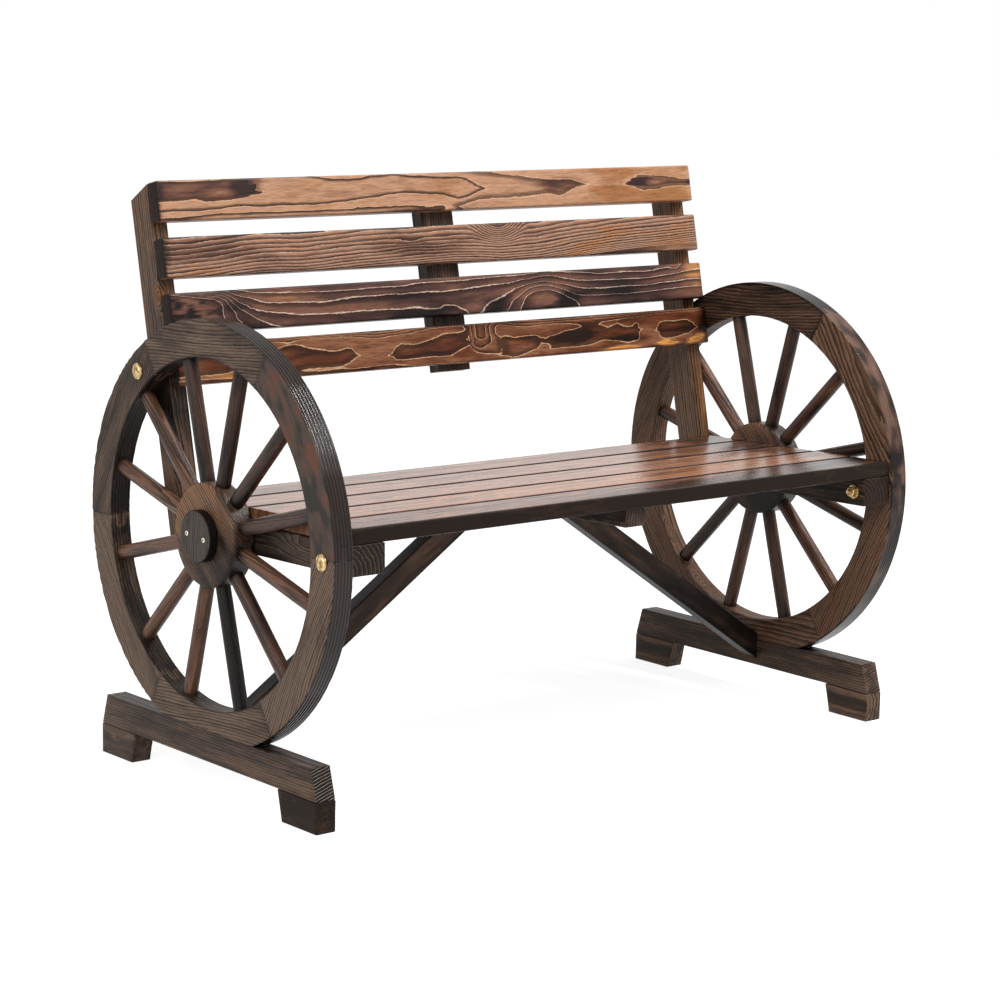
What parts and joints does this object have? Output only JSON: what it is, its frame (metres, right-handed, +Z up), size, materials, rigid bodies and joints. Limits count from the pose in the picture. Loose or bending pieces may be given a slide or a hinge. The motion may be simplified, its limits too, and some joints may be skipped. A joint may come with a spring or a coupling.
{
  "type": "wagon wheel bench",
  "caption": "Rustic garden bench of burnt wood: a slatted seat and leaning slatted back hung between spoked wagon wheels that serve as arms and legs on footed base beams.",
  "frame": {"origin": "on the ground, under the middle of the wheels", "axes": "+X to the sitter's left along the seat, +Y to the back, +Z up; the sitter faces -Y"},
  "size_m": [1.055, 0.56, 0.7897],
  "materials": {
    "seat_wood": "burnt fir under satin varnish, paler where it is sanded",
    "back_wood": "burnt fir under satin varnish, dark rings on orange-brown",
    "rim_wood": "burnt fir under satin varnish, ridged grain",
    "spoke_wood": "turned, dark brown stain",
    "hub_wood": "turned, brown stain",
    "cap_wood": "turned, charred nearly black",
    "frame_wood": "dark brown stain under satin varnish",
    "yellow_zinc": "yellow zinc plating, slightly dull"
  },
  "bodies": {
    "root": {"left_rim": "rim_wood", "left_spoke_01": "spoke_wood", "left_spoke_02": "spoke_wood", "left_spoke_03": "spoke_wood", "left_spoke_04": "spoke_wood", "left_spoke_05": "spoke_wood", "left_spoke_06": "spoke_wood", "left_spoke_07": "spoke_wood", "left_spoke_08": "spoke_wood", "left_spoke_09": "spoke_wood", "left_spoke_10": "spoke_wood", "left_spoke_11": "spoke_wood", "left_spoke_12": "spoke_wood", "left_hub": "hub_wood", "left_hub_cap": "cap_wood", "left_base_beam": "frame_wood", "left_front_foot": "frame_wood", "left_back_foot": "frame_wood", "left_brace": "frame_wood", "left_seat_rail": "frame_wood", "left_back_post": "frame_wood", "left_front_bolt": "yellow_zinc", "left_rear_bolt": "yellow_zinc", "right_rim": "rim_wood", "right_spoke_01": "spoke_wood", "right_spoke_02": "spoke_wood", "right_spoke_03": "spoke_wood", "right_spoke_04": "spoke_wood", "right_spoke_05": "spoke_wood", "right_spoke_06": "spoke_wood", "right_spoke_07": "spoke_wood", "right_spoke_08": "spoke_wood", "right_spoke_09": "spoke_wood", "right_spoke_10": "spoke_wood", "right_spoke_11": "spoke_wood", "right_spoke_12": "spoke_wood", "right_hub": "hub_wood", "right_hub_cap": "cap_wood", "right_base_beam": "frame_wood", "right_front_foot": "frame_wood", "right_back_foot": "frame_wood", "right_brace": "frame_wood", "right_seat_rail": "frame_wood", "right_back_post": "frame_wood", "right_front_bolt": "yellow_zinc", "right_rear_bolt": "yellow_zinc", "seat_slat_1": "seat_wood", "seat_slat_2": "seat_wood", "seat_slat_3": "seat_wood", "seat_slat_4": "seat_wood", "seat_slat_5": "seat_wood", "back_slat_1": "back_wood", "back_slat_2": "back_wood", "back_slat_3": "back_wood", "back_slat_4": "back_wood", "centre_seat_rail": "frame_wood", "centre_back_post": "frame_wood"}
  },
  "joints": []
}
